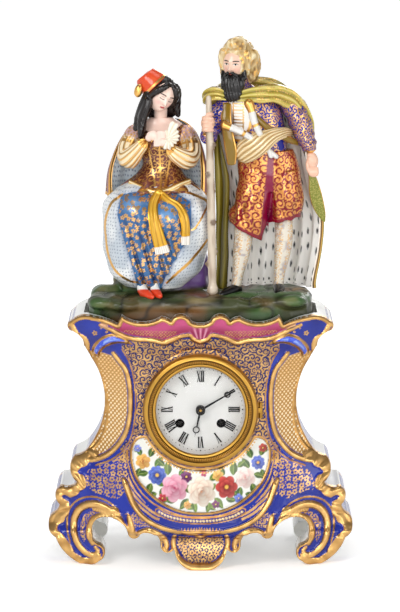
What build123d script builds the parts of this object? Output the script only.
from build123d import *
import math
import os

os.makedirs("parts", exist_ok=True)

# Overall sizes, mm. +Z up, the dial faces -Y, origin on the table under the middle of the case.
CASE_WIDTH = 283.0
CASE_DEPTH = 140.0
CASE_HEIGHT = 237.0
FIGURE_HEIGHT = 240.0
HALF_W = CASE_WIDTH / 2
HALF_D = CASE_DEPTH / 2
DIAL_Z = 147.0
OVERRUN = 20.0
BODY_GAP = 0.3

# Porcelain case
SIDE_ARCH_HEIGHT = 34.0
SIDE_ARCH_MIDDLE = 6.0
SIDE_ARCH_WIDTH = 62.0
CASE_HOLE_R = 46.0
SEAT_R = 55.0
SEAT_CLEAR_R = 57.5
FRONT_SEAT = 51.0
REAR_SEAT = -54.0
SEAT_DEPTH = 10.0
POCKET_FLOOR = 222.0

# Levels along the dial axis: distance in front of the middle plane, back first, mm
FRONT_PLATE = (34.0, 36.5)
BACK_PLATE = (-4.5, -2.0)
RING_FLANGE = (51.0, 53.0)
RING_TUBE = (24.0, 51.0)
RING_LUG = (36.5, 38.0)
BEZEL_BACK = 53.3
REAR_FLANGE = (-56.0, -54.0)
REAR_TUBE = (-54.0, -42.0)
REAR_LIP = (-52.5, -51.0)
REAR_DOOR = (-58.3, -56.3)
STRAP = (-51.0, 34.0)
STRAP_LUG = (-51.0, -45.0)
STRAP_SCREW = (-54.5, -46.0)
STRAP_SCREW_HEAD = (-54.5, -52.5)
MOVEMENT_SCREW = (34.0, 39.5)
MOVEMENT_SCREW_HEAD = (38.0, 39.5)
GOING_DRUM = (9.0, 26.0)
STRIKE_DRUM = (9.0, 26.0)
SPRING_PACK = (10.6, 24.4)
GOING_GREAT = (7.0, 9.0)
STRIKE_GREAT = (26.0, 27.8)
INTER_PINION = (5.8, 10.4)
INTER_WHEEL = (2.4, 3.6)
CENTRE_PINION = (1.2, 4.8)
CENTRE_WHEEL = (31.0, 32.2)
THIRD_PINION = (29.9, 33.3)
THIRD_WHEEL = (17.5, 18.5)
ESCAPE_PINION = (15.8, 20.2)
ESCAPE_WHEEL = (1.0, 2.0)
SECOND_PINION = (24.9, 28.9)
SECOND_WHEEL = (4.4, 5.6)
PIN_PINION = (3.2, 6.8)
PIN_WHEEL = (13.3, 14.5)
PIN_LENGTH = (14.5, 17.5)
STOP_PINION = (12.0, 15.8)
STOP_WHEEL = (21.5, 22.5)
WARN_PINION = (20.3, 23.7)
WARN_WHEEL = (9.5, 10.5)
FLY_PINION = (8.3, 11.7)
FLY_VANE = (13.0, 20.8)
COUNT_WHEEL = (-7.2, -6.0)
RATCHET = (38.0, 40.0)
CLICK = (38.0, 39.6)
WINDING_SQUARE = (40.0, 47.6)
CANNON_PIPE = (37.3, 54.2)
CANNON_TEETH = (37.3, 40.4)
MINUTE_WHEEL = (38.0, 39.2)
MINUTE_PINION = (39.2, 43.6)
MINUTE_STUD = (36.5, 45.0)
HOUR_WHEEL = (41.2, 42.4)
HOUR_PIPE = (41.2, 51.9)
HOUR_HAND = (51.1, 51.9)
MINUTE_HAND = (53.4, 54.2)
HAND_NUT = (54.2, 56.2)
DIAL_BACK = 47.0
DIAL_FOOT = (34.0, 47.0)
CRUTCH = (-8.0, -6.5)
CRUTCH_FORK = (-17.4, -6.5)
COCK_PLATE = (-12.0, -10.0)
COCK_LEG = (-10.0, -4.5)
COCK_ARM = (-17.5, -10.0)
PENDULUM_LEVEL = -15.0
BELL_MOUTH = -21.0
BELL_TOP = -37.0
BELL_ARM = (-32.5, -30.0)
BELL_POST = (-32.5, -4.5)
BELL_STUD = (-39.5, -31.5)
HAMMER_ARM = (-27.0, -25.0)
HAMMER_HEAD = (-28.5, -23.0)
HAMMER_TAIL = (15.0, 16.6)
HAMMER_ARBOR = (-28.5, 33.7)

# Radii and small sizes of the movement, mm
PLATE_R = 41.5
PIVOT_R = 0.7
ARBOR_R = 1.0
THIN_ARBOR_R = 0.55
SHAFT_PLAY = 0.05
SHOULDER = 0.3
PILLAR_R = 2.5
PILLAR_STEM_R = 1.2
PILLAR_RING = 37.0
DRUM_R = 14.3
DRUM_WALL = 1.2
SPRING_R = 9.5
WINDING_R = 2.4
WINDING_SIDE = 3.4
WINDING_HOLE_R = 4.3
RATCHET_R = 6.5
BARREL_X = 19.0
BARREL_Z = -13.3
ESCAPE_Z = 21.0
ESCAPE_R = 8.5
ESCAPE_ROOT_R = 6.9
PALLET_Z = 33.0
PALLET_HOLE_R = 4.0
SUSPENSION_Z = 39.5
FORK_Z = 9.0
FORK_GAP = 1.5
ROD_R = 1.2
BOB_Z = -75.0
BOB_R = 17.0
BOB_HALF = 4.5
BELL_R = 27.0
BELL_WALL = 1.4
BELL_POST_X = 8.0
BELL_POST_Z = -9.0
BELL_POST_R = 2.0
HAMMER_X = -36.0
HAMMER_Z = -2.0
HAMMER_HEAD_R = 3.5
HAMMER_ANGLE = 150.0
STRIKE_GAP = 0.6
PALLET_GAP = 1.1
TAIL_LENGTH = 17.2
LEVER_WIDTH = 1.8
CENTRE_R = 1.1
CANNON_R = 1.6
HOUR_BORE_R = 1.7
HOUR_PIPE_R = 2.7
DIAL_R = 43.2
DIAL_EDGE = 1.5
DIAL_RISE = 1.5
DIAL_HOLE_R = 3.4
DIAL_FOOT_R = 1.0
DIAL_FOOT_RING = 36.0
HOUR_REACH = 26.4
HOUR_RING_AT = 19.3
HOUR_RING_R = 3.2
HOUR_DEGREES = 192.0
MINUTE_REACH = 37.8
MINUTE_RING_AT = 28.6
MINUTE_RING_R = 2.9
MINUTE_DEGREES = 59.4
HAND_STEM = 1.1
HAND_BOSS_R = 4.4
HAND_RING_WIDTH = 0.9
RING_TUBE_R = 45.6
RING_BORE_R = 43.6
RING_FLANGE_R = 53.0
LUG_BORE_R = 38.5
BEZEL_BORE_R = 41.0
BEZEL_HEIGHT = 7.7
GLASS_R = 42.4
GLASS_RISE = 6.5
GLASS_WALL = 1.2
GLASS_EDGE = 54.4
HINGE_X = 55.2
KNUCKLE_R = 1.8
RING_WEB_R = 48.0
KNUCKLE_LENGTH = 5.0
HINGE_PIN_R = 0.8
DOOR_R = 50.0
DOOR_DOME = 3.0
STRAP_THICK = 1.6
STRAP_DEGREES = 16.0
SCREW_R = 1.0
SCREW_HEAD_R = 2.0
SCREW_RING = 39.8
COUNT_R = 12.0
FLY_R = 5.2
FLY_THICK = 0.6
PIN_RING = 7.0
PIN_R = 0.5

# Wheel trains: teeth of wheel, leaves of pinion, module in mm
GREAT_TRAIN = (84, 14, 0.405)
INTER_TRAIN = (70, 10, 0.36)
CENTRE_TRAIN = (84, 7, 0.30)
THIRD_TRAIN = (77, 7, 0.27)
SECOND_TRAIN = (63, 7, 0.34)
PIN_TRAIN = (60, 6, 0.30)
STOP_TRAIN = (48, 6, 0.28)
WARN_TRAIN = (48, 6, 0.25)
MINUTE_TRAIN = (36, 12, 0.50)
HOUR_TRAIN = (40, 10, 0.48)
ESCAPE_TEETH = 40
RATCHET_TEETH = 24
# Tooth form: addendum and dedendum in modules, root and tip width in pitches
wheel_tooth_shares = (0.9, 1.1, 0.52, 0.20)
pinion_leaf_shares = (0.5, 1.3, 0.42, 0.24)

# Front outline, right half: points or arcs (through, to) in half widths and case heights
front_outline_shares = [
    (0.0636, 0.0000),
    (0.1343, 0.0253, 0.1696, 0.0844),
    (0.2191, 0.0612, 0.2615, 0.0886),
    (0.2898, 0.1308, 0.3534, 0.1456),
    (0.3816, 0.1435, 0.3958, 0.1287),
    (0.4311, 0.1118, 0.4735, 0.1308),
    (0.5088, 0.1772, 0.6078, 0.1941),
    (0.6926, 0.1730, 0.7067, 0.1224),
    (0.6926, 0.0949, 0.6537, 0.0844),
    (0.6254, 0.0506, 0.6643, 0.0169),
    (0.6926, 0.0042, 0.7208, 0.0000),
    (0.7915, 0.0000),
    (0.8834, 0.0359, 0.9505, 0.1013),
    (1.0000, 0.1414, 0.9753, 0.1814),
    (0.9399, 0.2004, 0.9258, 0.2236),
    (0.9541, 0.2616, 0.9117, 0.2975),
    (0.8551, 0.2975, 0.8092, 0.3186),
    (0.8551, 0.3671, 0.8233, 0.4135),
    (0.7774, 0.4241, 0.7350, 0.4451),
    (0.6276, 0.6118, 0.7138, 0.8101),
    (0.7350, 0.8376, 0.7597, 0.8608),
    (0.7845, 0.9008, 0.8445, 0.9177),
    (0.8657, 0.9367, 0.8375, 0.9578),
    (0.7774, 0.9810, 0.6996, 0.9831),
    (0.6078, 0.9747, 0.5371, 0.9578),
    (0.5088, 0.9916),
    (0.3887, 0.9662, 0.2544, 0.9895),
    (0.2191, 0.9852, 0.1908, 0.9747),
    (0.1272, 1.0000, 0.0636, 0.9747),
    (0.0353, 0.9662, 0.0000, 0.9641),
]
# Level sections: height, side, front corner, front middle, front corner depth, side depth, rear
body_section_shares = [
    (0.0000, 1.0389, 0.7350, 1.0000, 0.6857, 0.4000, 1.0000),
    (0.1435, 1.0389, 0.7350, 0.9857, 0.6714, 0.4000, 0.9857),
    (0.2869, 0.9965, 0.6926, 0.9000, 0.6429, 0.3714, 0.9143),
    (0.3882, 0.8905, 0.5936, 0.7714, 0.6429, 0.3571, 0.8286),
    (0.4641, 0.7279, 0.4947, 0.7214, 0.6571, 0.3429, 0.7714),
    (0.6118, 0.6431, 0.4523, 0.6857, 0.6714, 0.3429, 0.7429),
    (0.7595, 0.6926, 0.4806, 0.6929, 0.6714, 0.3571, 0.7571),
    (0.8439, 0.7845, 0.5654, 0.7286, 0.6714, 0.3857, 0.7857),
    (0.9283, 0.8869, 0.6502, 0.8429, 0.7000, 0.4143, 0.8571),
    (1.0127, 0.8869, 0.6502, 0.8571, 0.7143, 0.4143, 0.8714),
]
cavity_section_shares = [
    (0.0000, 0.6643, 0.5230, 0.8286, 0.5714, 0.3429, 0.8571),
    (0.1688, 0.6855, 0.5230, 0.8000, 0.5571, 0.3429, 0.8429),
    (0.3165, 0.7279, 0.4947, 0.7143, 0.5429, 0.3143, 0.7714),
    (0.4430, 0.6572, 0.4523, 0.6214, 0.5500, 0.3000, 0.6929),
    (0.6118, 0.5830, 0.4099, 0.5857, 0.5643, 0.2857, 0.6500),
    (0.8017, 0.6502, 0.4523, 0.6000, 0.5714, 0.3143, 0.6786),
    (0.8945, 0.6996, 0.4947, 0.6571, 0.5857, 0.3429, 0.7143),
]
pocket_section_shares = (0.9367, 0.7600, 0.6000, 0.7450, 0.6100, 0.3600, 0.7400)
# Main raised scrolls of the right half and the panel rim: width, then points across and up
scroll_shares = [
    (0.0424, [(0.5088, 0.1624), (0.5512, 0.2046), (0.6219, 0.2321), (0.6996, 0.2405), (0.7774, 0.2236),
             (0.8233, 0.1814), (0.8304, 0.1350), (0.8057, 0.0844), (0.7562, 0.0527), (0.7138, 0.0422)]),
    (0.0325, [(0.4876, 0.3291), (0.4664, 0.2911), (0.4382, 0.2532), (0.3816, 0.2110), (0.3039, 0.1806),
             (0.2120, 0.1612), (0.1272, 0.1519)]),
    (0.0283, [(0.5654, 0.8397), (0.5230, 0.8059), (0.4841, 0.7722), (0.4580, 0.6962), (0.4580, 0.6076),
             (0.4806, 0.5359), (0.5230, 0.4852), (0.5936, 0.4388), (0.6855, 0.4114)]),
    (0.0297, [(0.0777, 0.9198), (0.1484, 0.9093), (0.2332, 0.8882), (0.3039, 0.8966), (0.4452, 0.9030),
             (0.5654, 0.9325)]),
    (0.0325, [(0.4028, 0.1414), (0.3534, 0.1553), (0.2968, 0.1498), (0.2473, 0.1266), (0.2226, 0.0928)]),
    (0.0424, [(0.4664, 0.8882), (0.5159, 0.8987), (0.5654, 0.9000), (0.6219, 0.8840), (0.6678, 0.8565),
             (0.6820, 0.8291)]),
]
panel_rim_shares = [
    (-0.4276, 0.4852), (-0.4488, 0.4473), (-0.4438, 0.4051), (-0.4099, 0.3523), (-0.3519, 0.3080),
    (-0.2686, 0.2679), (-0.1837, 0.2426), (-0.0919, 0.2287), (0.0000, 0.2245), (0.0919, 0.2287),
    (0.1837, 0.2426), (0.2686, 0.2679), (0.3519, 0.3080), (0.4099, 0.3523), (0.4438, 0.4051),
    (0.4488, 0.4473), (0.4276, 0.4852),
]
SCROLL_RISE = 2.4
PANEL_RIM_WIDTH = 2.4


def level_section(row):
    """Closed level section of the case or its cavity from one row of shares."""
    height, side, corner, nose, corner_y, side_y, rear = row
    side, corner = side * HALF_W, corner * HALF_W
    nose, corner_y, side_y, rear = (-nose * HALF_D, -corner_y * HALF_D, -side_y * HALF_D, rear * HALF_D)
    with BuildSketch(Plane.XY.offset(height * CASE_HEIGHT)) as face:
        with BuildLine():
            ThreePointArc((-corner, corner_y), (0, nose), (corner, corner_y))
            Polyline((corner, corner_y), (side, side_y), (side, -side_y), (corner, rear), (-corner, rear),
                     (-side, -side_y), (-side, side_y), (-corner, corner_y))
        make_face()
    return face.sketch


def risen(row):
    """The same section with its front brought forward for the raised scrolls."""
    height, side, corner, nose, corner_y, side_y, rear = row
    rise = SCROLL_RISE / HALF_D
    return height, side, corner, nose + rise, corner_y + rise, side_y + rise, rear


def at(spot, forward):
    """Plane facing the front at a spot given from the dial centre."""
    return Plane(origin=(spot[0], -forward, DIAL_Z + spot[1]), x_dir=(1, 0, 0), z_dir=(0, -1, 0))


def disc(spot, span, radius, mode=Mode.ADD):
    with BuildSketch(at(spot, span[0])) as face:
        Circle(radius)
    extrude(to_extrude=face.sketch, amount=span[1] - span[0], mode=mode)


def ring(spot, span, outer, inner):
    with BuildSketch(at(spot, span[0])) as face:
        Circle(outer)
        Circle(inner, mode=Mode.SUBTRACT)
    extrude(to_extrude=face.sketch, amount=span[1] - span[0])


def bar(start, end, span, width, mode=Mode.ADD):
    """Flat bar with rounded ends between two spots."""
    run = (end[0] - start[0], end[1] - start[1])
    middle = ((start[0] + end[0]) / 2, (start[1] + end[1]) / 2)
    with BuildSketch(at(middle, span[0])) as face:
        SlotCenterToCenter(math.hypot(*run), width, rotation=math.degrees(math.atan2(run[1], run[0])))
    extrude(to_extrude=face.sketch, amount=span[1] - span[0], mode=mode)


def toothed(spot, span, teeth, module, form, phase):
    """Wheel or pinion blank with straight-flanked teeth; phase is the angle of one tooth."""
    addendum, dedendum, root, tip = form
    root_r = module * (teeth / 2 - dedendum)
    tip_r = module * (teeth / 2 + addendum)
    pitch = 2 * math.pi / teeth
    points = []
    for tooth in range(teeth):
        middle = phase + tooth * pitch
        for radius, half in ((root_r, -root / 2), (tip_r, -tip / 2), (tip_r, tip / 2), (root_r, root / 2)):
            turn = middle + half * pitch
            points.append((radius * math.cos(turn), radius * math.sin(turn)))
    with BuildSketch(at(spot, span[0])) as face:
        with BuildLine():
            Polyline(*points, close=True)
        make_face()
    extrude(to_extrude=face.sketch, amount=span[1] - span[0])


def wheel(spot, span, train, mate, hub):
    """Crossed-out wheel with one tooth pointing at the pinion it drives."""
    phase = math.atan2(mate[1] - spot[1], mate[0] - spot[0])
    toothed(spot, span, train[0], train[2], wheel_tooth_shares, phase)
    rim = train[0] * train[2] / 2 - train[2] * wheel_tooth_shares[1] - hub
    window = (rim - hub) / 2
    with BuildSketch(at(spot, span[0])) as face:
        with PolarLocations((rim + hub) / 2, SPOKES):
            Circle(window * WINDOW_SHARE)
    extrude(to_extrude=face.sketch, amount=span[1] - span[0], mode=Mode.SUBTRACT)


def pinion(spot, span, train, mate):
    """Pinion with a gap pointing at the wheel that drives it."""
    phase = math.atan2(mate[1] - spot[1], mate[0] - spot[0]) + math.pi / train[1]
    toothed(spot, span, train[1], train[2], pinion_leaf_shares, phase)


def arbor(spot, radius, pivot=PIVOT_R):
    """Arbor between the plates with a pivot in each plate."""
    disc(spot, (BACK_PLATE[1] + SHOULDER, FRONT_PLATE[0] - SHOULDER), radius)
    disc(spot, (BACK_PLATE[0], FRONT_PLATE[1]), pivot)


def centres(train):
    return train[2] * (train[0] + train[1]) / 2


def meeting(first, reach, second, other_reach, side):
    """Spot at given distances from two spots, to the left (+1) or right (-1) of the way between."""
    run = (second[0] - first[0], second[1] - first[1])
    length = math.hypot(*run)
    along = (reach ** 2 - other_reach ** 2 + length ** 2) / (2 * length)
    across = side * math.sqrt(reach ** 2 - along ** 2)
    return (first[0] + (along * run[0] - across * run[1]) / length,
            first[1] + (along * run[1] + across * run[0]) / length)


def beyond(spot, reach, degrees):
    turn = math.radians(degrees)
    return (spot[0] + reach * math.cos(turn), spot[1] + reach * math.sin(turn))


def turned(profile, drop=0):
    """Solid turned about the dial axis from (radius, forward) points."""
    with BuildSketch(Plane(origin=(0, 0, DIAL_Z + drop))) as face:
        with BuildLine():
            Polyline(*[(radius, -forward) for radius, forward in profile], close=True)
        make_face()
    revolve(profiles=face.sketch, axis=Axis((0, 0, DIAL_Z + drop), (0, 1, 0)))


SPOKES = 5
WINDOW_SHARE = 0.8
DOME_STEPS = 6

# Where each arbor stands, from the dial centre
centre_spot = (0, 0)
going_spot = (BARREL_X, BARREL_Z)
strike_spot = (-BARREL_X, BARREL_Z)
inter_spot = meeting(centre_spot, centres(INTER_TRAIN), going_spot, centres(GREAT_TRAIN), -1)
escape_spot = (0, ESCAPE_Z)
third_spot = meeting(centre_spot, centres(CENTRE_TRAIN), escape_spot, centres(THIRD_TRAIN), -1)
pallet_spot = (0, PALLET_Z)
second_spot = beyond(strike_spot, centres(GREAT_TRAIN), 106.1)
pin_spot = beyond(second_spot, centres(SECOND_TRAIN), 54.0)
stop_spot = beyond(pin_spot, centres(PIN_TRAIN), 52.7)
warn_spot = beyond(stop_spot, centres(STOP_TRAIN), 142.5)
fly_spot = beyond(warn_spot, centres(WARN_TRAIN), 33.8)
minute_spot = beyond(centre_spot, centres(MINUTE_TRAIN), 60.0)
hammer_spot = (HAMMER_X, HAMMER_Z)
pillar_spots = [beyond(centre_spot, PILLAR_RING, turn) for turn in (35, 145, 250, 290)]
foot_spots = [beyond(centre_spot, DIAL_FOOT_RING, turn) for turn in (90, 200, 340)]
screw_spots = [beyond(centre_spot, SCREW_RING, turn) for turn in (60, 180, 300)]
click_spots = [(side * (BARREL_X + RATCHET_R), BARREL_Z - RATCHET_R) for side in (-1, 1)]
train_spots = [inter_spot, third_spot, escape_spot, pin_spot, stop_spot, warn_spot, fly_spot]

with BuildPart() as porcelain_case:
    loft(sections=[level_section(row) for row in body_section_shares])
    with BuildPart(mode=Mode.PRIVATE) as scrolls:
        with BuildSketch(Plane.XZ) as scroll_view:
            for width, points in scroll_shares:
                with BuildLine():
                    Spline(*[(x * HALF_W, z * CASE_HEIGHT) for x, z in points])
                trace(line_width=width * HALF_W)
            mirror(about=Plane.YZ)
            with BuildLine():
                Spline(*[(x * HALF_W, z * CASE_HEIGHT) for x, z in panel_rim_shares])
            trace(line_width=PANEL_RIM_WIDTH)
        extrude(to_extrude=scroll_view.sketch, amount=CASE_DEPTH)
        loft(sections=[level_section(risen(row)) for row in body_section_shares], mode=Mode.INTERSECT)
    add(scrolls.part)
    with BuildSketch(Plane.XZ) as front_view:
        with BuildLine() as half:
            spot = (0, 0)
            for step in front_outline_shares:
                stop = (step[-2] * HALF_W, step[-1] * CASE_HEIGHT)
                if len(step) > 2:
                    ThreePointArc(spot, (step[0] * HALF_W, step[1] * CASE_HEIGHT), stop)
                else:
                    Line(spot, stop)
                spot = stop
            Line(spot, (0, 0))
        make_face()
        mirror(about=Plane.YZ)
    extrude(to_extrude=front_view.sketch, amount=CASE_DEPTH, both=True, mode=Mode.INTERSECT)
    loft(sections=[level_section(row) for row in cavity_section_shares], mode=Mode.SUBTRACT)
    with BuildSketch(Plane.YZ) as side_view:
        with BuildLine():
            Line((SIDE_ARCH_MIDDLE - SIDE_ARCH_WIDTH / 2, 0), (SIDE_ARCH_MIDDLE + SIDE_ARCH_WIDTH / 2, 0))
            ThreePointArc((SIDE_ARCH_MIDDLE - SIDE_ARCH_WIDTH / 2, 0), (SIDE_ARCH_MIDDLE, SIDE_ARCH_HEIGHT),
                          (SIDE_ARCH_MIDDLE + SIDE_ARCH_WIDTH / 2, 0))
        make_face()
    extrude(to_extrude=side_view.sketch, amount=CASE_WIDTH, both=True, mode=Mode.SUBTRACT)
    disc(centre_spot, (FRONT_SEAT - SEAT_DEPTH, FRONT_SEAT), SEAT_R)
    disc(centre_spot, (REAR_SEAT, REAR_SEAT + SEAT_DEPTH), SEAT_R)
    disc(centre_spot, (FRONT_SEAT, FRONT_SEAT + OVERRUN), SEAT_CLEAR_R, Mode.SUBTRACT)
    disc(centre_spot, (REAR_SEAT - OVERRUN, REAR_SEAT), SEAT_CLEAR_R, Mode.SUBTRACT)
    disc(centre_spot, (REAR_SEAT - OVERRUN, FRONT_SEAT + OVERRUN), CASE_HOLE_R, Mode.SUBTRACT)
    extrude(to_extrude=level_section(pocket_section_shares), amount=OVERRUN, mode=Mode.SUBTRACT)
porcelain_case.part.label = "porcelain_case"
export_step(porcelain_case.part, "parts/porcelain_case.step")


def knuckles(span_middle, offsets, mode=Mode.ADD):
    """Hinge knuckles on the vertical line beside the ring, centred at heights from the dial centre."""
    with Locations(*[(HINGE_X, -span_middle, DIAL_Z + offset * KNUCKLE_LENGTH) for offset in offsets]):
        Cylinder(KNUCKLE_R, KNUCKLE_LENGTH - BODY_GAP, mode=mode)


def hinge_bore(span_middle, radius):
    with Locations((HINGE_X, -span_middle, DIAL_Z)):
        Cylinder(radius, KNUCKLE_LENGTH * 3, mode=Mode.SUBTRACT)


def hinge_web(span, offsets):
    """Short leaves that join the knuckles to their ring."""
    middle = -(span[0] + span[1]) / 2
    with Locations(*[((HINGE_X + RING_WEB_R) / 2, middle, DIAL_Z + offset * KNUCKLE_LENGTH) for offset in offsets]):
        Box(HINGE_X - RING_WEB_R, span[1] - span[0], KNUCKLE_LENGTH - BODY_GAP)


front_hinge = (RING_FLANGE[1] + BEZEL_BACK) / 2
rear_hinge = (REAR_FLANGE[0] + REAR_DOOR[1]) / 2

# Fixed ring that carries the movement, clamped to the case by straps and the rear ring
with BuildPart() as movement_ring:
    ring(centre_spot, RING_FLANGE, RING_FLANGE_R, RING_BORE_R)
    ring(centre_spot, RING_TUBE, RING_TUBE_R, RING_BORE_R)
    ring(centre_spot, RING_LUG, RING_BORE_R, LUG_BORE_R)
    hinge_web(RING_FLANGE, (-1, 1))
    knuckles(front_hinge, (-1, 1))
    hinge_bore(front_hinge, HINGE_PIN_R)
    for spot in screw_spots:
        disc(spot, MOVEMENT_SCREW, SCREW_R, Mode.SUBTRACT)
movement_ring.part.label = "movement_ring"
export_step(movement_ring.part, "parts/movement_ring.step")

bezel_profile_shares = [(0.0, 0.43), (0.13, 0.43), (0.13, 0.0), (1.0, 0.0), (1.0, 0.45), (0.86, 0.86), (0.62, 1.0),
                        (0.42, 0.86), (0.36, 0.66), (0.22, 0.74), (0.06, 0.68), (0.0, 0.58)]
with BuildPart() as front_bezel:
    width = RING_FLANGE_R - BEZEL_BORE_R
    turned([(BEZEL_BORE_R + out * width, BEZEL_BACK + up * BEZEL_HEIGHT) for out, up in bezel_profile_shares])
    hinge_web((BEZEL_BACK, BEZEL_BACK + KNUCKLE_R), (0,))
    knuckles(front_hinge, (0,))
    hinge_bore(front_hinge, HINGE_PIN_R + SHAFT_PLAY)
front_bezel.part.label = "front_bezel"
export_step(front_bezel.part, "parts/front_bezel.step")

with BuildPart() as bezel_glass:
    steps = [GLASS_R * step / DOME_STEPS for step in range(DOME_STEPS + 1)]
    inner = [(radius, GLASS_EDGE + GLASS_RISE * (1 - (radius / GLASS_R) ** 2)) for radius in steps]
    outer = [(radius, rise + GLASS_WALL) for radius, rise in reversed(inner)]
    turned(inner + outer)
bezel_glass.part.label = "bezel_glass"
export_step(bezel_glass.part, "parts/bezel_glass.step")

# Rear ring and door
with BuildPart() as rear_ring:
    ring(centre_spot, REAR_FLANGE, RING_FLANGE_R, RING_BORE_R)
    ring(centre_spot, REAR_TUBE, RING_TUBE_R, RING_BORE_R)
    ring(centre_spot, REAR_LIP, RING_BORE_R, LUG_BORE_R)
    hinge_web(REAR_FLANGE, (-1, 1))
    knuckles(rear_hinge, (-1, 1))
    hinge_bore(rear_hinge, HINGE_PIN_R)
    for spot in (beyond(centre_spot, SCREW_RING, 0), beyond(centre_spot, SCREW_RING, 180)):
        disc(spot, STRAP_SCREW, SCREW_R, Mode.SUBTRACT)
rear_ring.part.label = "rear_ring"
export_step(rear_ring.part, "parts/rear_ring.step")

with BuildPart() as rear_door:
    turned([(0, REAR_DOOR[1]), (DOOR_R, REAR_DOOR[1]), (DOOR_R, REAR_DOOR[0]), (DOOR_R * 0.8, REAR_DOOR[0]),
            (DOOR_R * 0.4, REAR_DOOR[0] - DOOR_DOME), (0, REAR_DOOR[0] - DOOR_DOME)])
    with BuildSketch(at(centre_spot, REAR_DOOR[0] - OVERRUN)) as slots:
        with PolarLocations(DOOR_R * 0.5, 8):
            SlotCenterToCenter(DOOR_R * 0.36, DOOR_R * 0.12)
    extrude(to_extrude=slots.sketch, amount=OVERRUN * 2, mode=Mode.SUBTRACT)
    hinge_web(REAR_DOOR, (0,))
    knuckles(rear_hinge, (0,))
    hinge_bore(rear_hinge, HINGE_PIN_R + SHAFT_PLAY)
    disc((-DOOR_R * 0.9, 0), (REAR_DOOR[0] - DOOR_DOME, REAR_DOOR[0]), DOOR_R * 0.05)
rear_door.part.label = "rear_door"
export_step(rear_door.part, "parts/rear_door.step")

with BuildPart() as hinge_pins:
    with Locations((HINGE_X, -front_hinge, DIAL_Z), (HINGE_X, -rear_hinge, DIAL_Z)):
        Cylinder(HINGE_PIN_R, KNUCKLE_LENGTH * 3)
hinge_pins.part.label = "hinge_pins"
export_step(hinge_pins.part, "parts/hinge_pins.step")

with BuildPart() as straps:
    for turn in (0, 180):
        with BuildSketch(at(centre_spot, STRAP[0])) as face:
            with Locations(beyond(centre_spot, RING_BORE_R, turn)):
                Rectangle(STRAP_THICK * 4, RING_BORE_R * math.radians(STRAP_DEGREES))
            Circle(RING_BORE_R, mode=Mode.INTERSECT)
            Circle(RING_BORE_R - STRAP_THICK, mode=Mode.SUBTRACT)
        extrude(to_extrude=face.sketch, amount=STRAP[1] - STRAP[0])
        with BuildSketch(at(centre_spot, STRAP_LUG[0])) as face:
            with Locations(beyond(centre_spot, SCREW_RING, turn)):
                Rectangle(SCREW_HEAD_R * 4, SCREW_HEAD_R * 3)
            Circle(RING_BORE_R, mode=Mode.INTERSECT)
        extrude(to_extrude=face.sketch, amount=STRAP_LUG[1] - STRAP_LUG[0])
        disc(beyond(centre_spot, SCREW_RING, turn), STRAP_SCREW, SCREW_R, Mode.SUBTRACT)
    disc(centre_spot, FRONT_PLATE, PLATE_R, Mode.SUBTRACT)
straps.part.label = "straps"
export_step(straps.part, "parts/straps.step")

# Plates, pillars and the screws that hold them
with BuildPart() as front_plate:
    disc(centre_spot, FRONT_PLATE, PLATE_R)
    disc(centre_spot, FRONT_PLATE, CENTRE_R + SHAFT_PLAY, Mode.SUBTRACT)
    for spot in train_spots + [second_spot, pallet_spot, hammer_spot]:
        disc(spot, FRONT_PLATE, PIVOT_R + SHAFT_PLAY, Mode.SUBTRACT)
    for spot in (going_spot, strike_spot):
        disc(spot, FRONT_PLATE, WINDING_R + SHAFT_PLAY, Mode.SUBTRACT)
    for spot in foot_spots:
        disc(spot, FRONT_PLATE, DIAL_FOOT_R, Mode.SUBTRACT)
    for spot in screw_spots:
        disc(spot, FRONT_PLATE, SCREW_R, Mode.SUBTRACT)
    disc(minute_spot, MINUTE_STUD, ARBOR_R)
front_plate.part.label = "front_plate"
export_step(front_plate.part, "parts/front_plate.step")

with BuildPart() as back_plate:
    disc(centre_spot, BACK_PLATE, PLATE_R)
    for spot in train_spots + [centre_spot]:
        disc(spot, BACK_PLATE, PIVOT_R + SHAFT_PLAY, Mode.SUBTRACT)
    for spot in (going_spot, strike_spot):
        disc(spot, BACK_PLATE, WINDING_R + SHAFT_PLAY, Mode.SUBTRACT)
    for spot in (second_spot, hammer_spot):
        disc(spot, BACK_PLATE, ARBOR_R + SHAFT_PLAY, Mode.SUBTRACT)
    disc(pallet_spot, BACK_PLATE, PALLET_HOLE_R, Mode.SUBTRACT)
    for spot in pillar_spots:
        disc(spot, BACK_PLATE, PILLAR_STEM_R, Mode.SUBTRACT)
back_plate.part.label = "back_plate"
export_step(back_plate.part, "parts/back_plate.step")

with BuildPart() as pillars:
    for spot in pillar_spots:
        disc(spot, (BACK_PLATE[1], FRONT_PLATE[0]), PILLAR_R)
        disc(spot, BACK_PLATE, PILLAR_STEM_R)
        disc(spot, (BACK_PLATE[0] - SCREW_R, BACK_PLATE[0]), PILLAR_R)
pillars.part.label = "pillars"
export_step(pillars.part, "parts/pillars.step")

with BuildPart() as fixing_screws:
    for spot in screw_spots:
        disc(spot, MOVEMENT_SCREW, SCREW_R)
        disc(spot, MOVEMENT_SCREW_HEAD, SCREW_HEAD_R)
    for turn in (0, 180):
        disc(beyond(centre_spot, SCREW_RING, turn), STRAP_SCREW, SCREW_R)
        disc(beyond(centre_spot, SCREW_RING, turn), STRAP_SCREW_HEAD, SCREW_HEAD_R)
fixing_screws.part.label = "fixing_screws"
export_step(fixing_screws.part, "parts/fixing_screws.step")

# Going train, from the barrel to the escape wheel
with BuildPart() as going_barrel:
    wheel(going_spot, GOING_GREAT, GREAT_TRAIN, inter_spot, WINDING_R * 2)
    disc(going_spot, GOING_GREAT, DRUM_R)
    ring(going_spot, GOING_DRUM, DRUM_R, DRUM_R - DRUM_WALL)
    disc(going_spot, GOING_GREAT, WINDING_R + SHAFT_PLAY, Mode.SUBTRACT)
going_barrel.part.label = "going_barrel"
export_step(going_barrel.part, "parts/going_barrel.step")

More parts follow.
